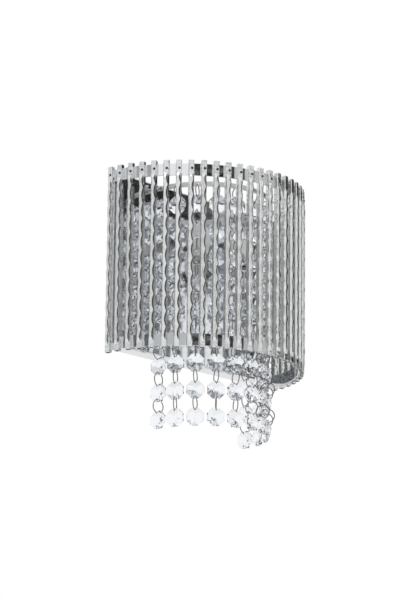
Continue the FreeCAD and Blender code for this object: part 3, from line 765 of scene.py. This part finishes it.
# Lamp glass: drawn quartz tube, thin and clear, with faint ripples about 6 mm apart from
# the flame that shaped it.
lamp_glass, tree = new_finish("lamp_glass")
place = add_node(tree, "ShaderNodeTexCoord")
ripple_gap = 0.006
ripple = add_node(tree, "ShaderNodeTexNoise", None,
                  {"Vector": place.outputs["Object"], "Scale": 1 / ripple_gap, "Detail": 1.0})
uneven = add_node(tree, "ShaderNodeBump", None,
                  {"Height": ripple.outputs["Fac"], "Strength": 0.08, "Distance": 0.0005})
quartz = add_node(tree, "ShaderNodeBsdfPrincipled", None,
                  {"Base Color": linear("#fbfbfa"), "Roughness": 0.02, "IOR": 1.46,
                   "Transmission Weight": 1.0, "Normal": uneven.outputs[0]})
add_node(tree, "ShaderNodeOutputMaterial", None, {"Surface": quartz.outputs[0]})

lamp_aside = 0.026
lamp_from_wall = 0.037
capsule_gap = 0.0002
capsule_sides = 28
pinch_height = 0.008
pinch_half_width = 0.006
pinch_half_depth = 0.002
# (radius, drop) down the capsule, with its tip last, and then down the hollow in it
outside = [(0, 0.0), (0.0043, 0.0), (0.0058, 0.0016), (0.0066, 0.004), (0.0066, 0.027), (0.0062, 0.0293),
           (0.0048, 0.0314), (0.0028, 0.0324), (0.0014, 0.0332), (0.0007, 0.0339), (0, 0.034)]
inside = [(0, 0.0012), (0.0034, 0.0012), (0.005, 0.0024), (0.0058, 0.0045), (0.0058, 0.0265),
          (0.0054, 0.0285), (0.004, 0.0304), (0.002, 0.0312), (0, 0.0314)]
holder_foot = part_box("lampholders")[0].z
capsule_meshes = []
for side in (-1, 1):
    top = Vector((side * lamp_aside, -lamp_from_wall, holder_foot - capsule_gap))
    down = Vector((0, 0, -1))
    capsule = turned_mesh("capsule", outside, top, down, capsule_sides)
    hollow = turned_mesh("hollow", inside, top, down, capsule_sides)
    hollow.flip_normals()
    # the pinch is a four-sided bar, turned to stand square and drawn out to its width and depth
    bar = [(0, -pinch_height), (1, -pinch_height), (1, 0.0), (0, 0.0)]
    pinch = turned_mesh("pinch", bar, top, down, 4)
    to_middle = Matrix.Translation(-top)
    square = Matrix.Rotation(math.pi / 4, 4, "Z")
    drawn_out = Matrix.Diagonal((pinch_half_width * math.sqrt(2), pinch_half_depth * math.sqrt(2), 1, 1))
    pinch.transform(Matrix.Translation(top) @ drawn_out @ square @ to_middle)
    capsule_meshes += [capsule, hollow, pinch]
mesh_piece("lamp_capsules", joined_mesh("lamp_capsules", capsule_meshes), lamp_glass, "root",
           "lamp_bulbs", True)

# ---------------------------------------------------------------- wiring
# Glass-fibre sleeves lead the wires from each holder through a plastic bushing in the
# pan, and on to a white three-pole terminal block behind it.

# Woven glass fibre: cream sleeve, dull and soft, its yarns about 0.9 mm apart.
fibre, tree = new_finish("glass_fibre_sleeve")
place = add_node(tree, "ShaderNodeTexCoord")
yarn_gap = 0.000912
# Blender's diagonal bands are 2 pi / 10 apart on x + y + z at a scale of 1
yarns = add_node(tree, "ShaderNodeTexWave", {"bands_direction": "DIAGONAL"},
                 {"Vector": place.outputs["Object"],
                  "Scale": 2 * math.pi / 10 / (math.sqrt(3) * yarn_gap)})
tint = add_node(tree, "ShaderNodeMix", {"data_type": "RGBA"},
                {0: yarns.outputs["Fac"], 6: linear("#cfc8b4"), 7: linear("#efe9d9")})
weave = add_node(tree, "ShaderNodeBump", None,
                 {"Height": yarns.outputs["Fac"], "Strength": 0.4, "Distance": 0.0001})
cloth = add_node(tree, "ShaderNodeBsdfPrincipled", None,
                 {"Base Color": tint.outputs[2], "Roughness": 0.8, "Normal": weave.outputs[0]})
add_node(tree, "ShaderNodeOutputMaterial", None, {"Surface": cloth.outputs[0]})

# Moulded nylon, black for the bushings and white for the block: a low shine over the fine
# texture of a spark-eroded mould, 0.5 mm across.
spark_size = 0.0005
for name, node, dark, light in (("black_plastic", "lead_bushings", "#161616", "#242424"),
                                ("white_plastic", "terminal_block", "#e2e1dc", "#f1f0ec")):
    nylon, tree = new_finish(name)
    place = add_node(tree, "ShaderNodeTexCoord")
    spark = add_node(tree, "ShaderNodeTexNoise", None,
                     {"Vector": place.outputs["Object"], "Scale": 1 / spark_size, "Detail": 2.0})
    tint = add_node(tree, "ShaderNodeMix", {"data_type": "RGBA"},
                    {0: spark.outputs["Fac"], 6: linear(dark), 7: linear(light)})
    grain = add_node(tree, "ShaderNodeBump", None,
                     {"Height": spark.outputs["Fac"], "Strength": 0.15, "Distance": 0.0001})
    moulded = add_node(tree, "ShaderNodeBsdfPrincipled", None,
                       {"Base Color": tint.outputs[2], "Roughness": 0.45, "Normal": grain.outputs[0]})
    add_node(tree, "ShaderNodeOutputMaterial", None, {"Surface": moulded.outputs[0]})
    coat_node(node, nylon)
coat_node("lead_sleeves", fibre)

# ---------------------------------------------------------------- floor, cards, lamps and camera
# A pale floor far below the light and white all round it. Cards on an arc in front and
# beside it show only as reflections: they give the chrome and the rods their black and
# grey. Two soft lamps shine from the left and from above.
floor_half_width = 6
floor_level = -0.75
card_distance = 3.2
lamp_size = 1.4
lamp_power = 8


def matt_paint(name, colour, roughness):
    """Plain paint for the studio's floor and cards."""
    finish, tree = new_finish(name)
    paint = add_node(tree, "ShaderNodeBsdfPrincipled", None,
                     {"Base Color": linear(colour), "Roughness": roughness})
    add_node(tree, "ShaderNodeOutputMaterial", None, {"Surface": paint.outputs[0]})
    return finish


def stage_sheet(name, corners, material):
    """A flat sheet that belongs to the studio."""
    mesh = bpy.data.meshes.new(name)
    mesh.from_pydata(corners, [], [(0, 1, 2, 3)])
    mesh.materials.append(material)
    sheet = bpy.data.objects.new(name, mesh)
    bpy.context.scene.collection.objects.link(sheet)
    return sheet


stage_sheet("floor", [(x * floor_half_width, y * floor_half_width, floor_level)
                      for x, y in ((-1, -1), (1, -1), (1, 1), (-1, 1))],
            matt_paint("pale_floor", "#f2f2f0", 0.6))

black = matt_paint("black_card", "#0c0c0d", 0.9)
mid_grey = matt_paint("grey_card", "#a8aaad", 0.9)
light_grey = matt_paint("light_grey_card", "#c4c6c8", 0.9)
dark_grey = matt_paint("dark_grey_card", "#5c5e60", 0.9)

# Each card: where its lengths start, in degrees to the right of the front, their width in
# degrees, their foot and top in metres, and their paint. What the bands mirror keeps to the
# arc in lengths of about 20 degrees, and the right card is one flat sheet across it.
for name, turns, width, foot, top, paint in (
        ("top_band_card", (-41, -21, -1, 18), 20, 0.91, 1.06, black),
        ("foot_band_card", (-41, -21, -1, 18), 20, 0.61, 0.74, black),
        ("pan_card", (38,), 9.9, 0.8, 1.08, black),
        ("right_card", (48.5,), 69.5, 0.3, 1.6, black),
        ("back_right_card", (118,), 22, 0.3, 1.6, black),
        ("left_grey_card", (-137, -117, -97), 21, 0.9, 1.08, mid_grey),
        ("left_low_card", (-137, -117, -97), 21, 0.58, 0.76, dark_grey),
        ("middle_low_card", (-76, -59), 18, 0.6, 0.75, light_grey)):
    for turn in turns:
        corners = []
        for degrees, level in ((turn, foot), (turn + width, foot), (turn + width, top), (turn, top)):
            angle = math.radians(degrees)
            corners.append((card_distance * math.sin(angle), -card_distance * math.cos(angle), level))
        card = stage_sheet(name, corners, paint)
        card.visible_camera = False
        card.visible_shadow = False
        card.visible_diffuse = False
        card.visible_transmission = False

for name, place in (("left_lamp", (-1.9, -1.1, 2.6)), ("high_lamp", (0.4, -0.8, 3.2))):
    lamp = bpy.data.lights.new(name, "AREA")
    lamp.shape = "SQUARE"
    lamp.size = lamp_size
    lamp.energy = lamp_power
    holder = bpy.data.objects.new(name, lamp)
    holder.location = place
    # it faces the light, which stands at the origin
    holder.rotation_euler = (-Vector(place)).to_track_quat("-Z", "Y").to_euler()
    bpy.context.scene.collection.objects.link(holder)

world = bpy.data.worlds.new("white_room")
bpy.context.scene.world = world
world.use_nodes = True
tree = world.node_tree
tree.nodes.clear()
air = add_node(tree, "ShaderNodeBackground", None, {"Color": (1, 1, 1, 1), "Strength": 1.0})
add_node(tree, "ShaderNodeOutputWorld", None, {"Surface": air.outputs[0]})

# The camera stands low and to the left, and looks up at the light through a long lens.
azimuth = math.radians(-47.058)
elevation = math.radians(-14.495)
roll = math.radians(0.699)
distance = 2.36913
focal_pixels = 2936.48
photo_height_pixels = 601
film_width = 36.0
# the middle of the photograph, in pixels to the right of and below the part's origin
middle_right = 14.784
middle_below = 17.428
back = Vector((math.sin(azimuth) * math.cos(elevation), -math.cos(azimuth) * math.cos(elevation),
               math.sin(elevation)))
right = Vector((math.cos(azimuth), math.sin(azimuth), 0))
up = back.cross(right)
right, up = (right * math.cos(roll) + up * math.sin(roll), up * math.cos(roll) - right * math.sin(roll))
forward = (-back * focal_pixels + right * middle_right - up * middle_below).normalized()
side = (right - forward * right.dot(forward)).normalized()
top = side.cross(forward)
camera_data = bpy.data.cameras.new("camera")
camera_data.sensor_width = film_width
camera_data.lens = focal_pixels * film_width / photo_height_pixels
camera_data.clip_start = 0.05
camera_data.clip_end = 50.0
camera = bpy.data.objects.new("camera", camera_data)
camera.matrix_world = (Matrix.Translation(back * distance)
                       @ Matrix((side, top, -forward)).transposed().to_4x4())
bpy.context.scene.collection.objects.link(camera)
bpy.context.scene.camera = camera
bpy.context.scene.view_settings.view_transform = "Standard"
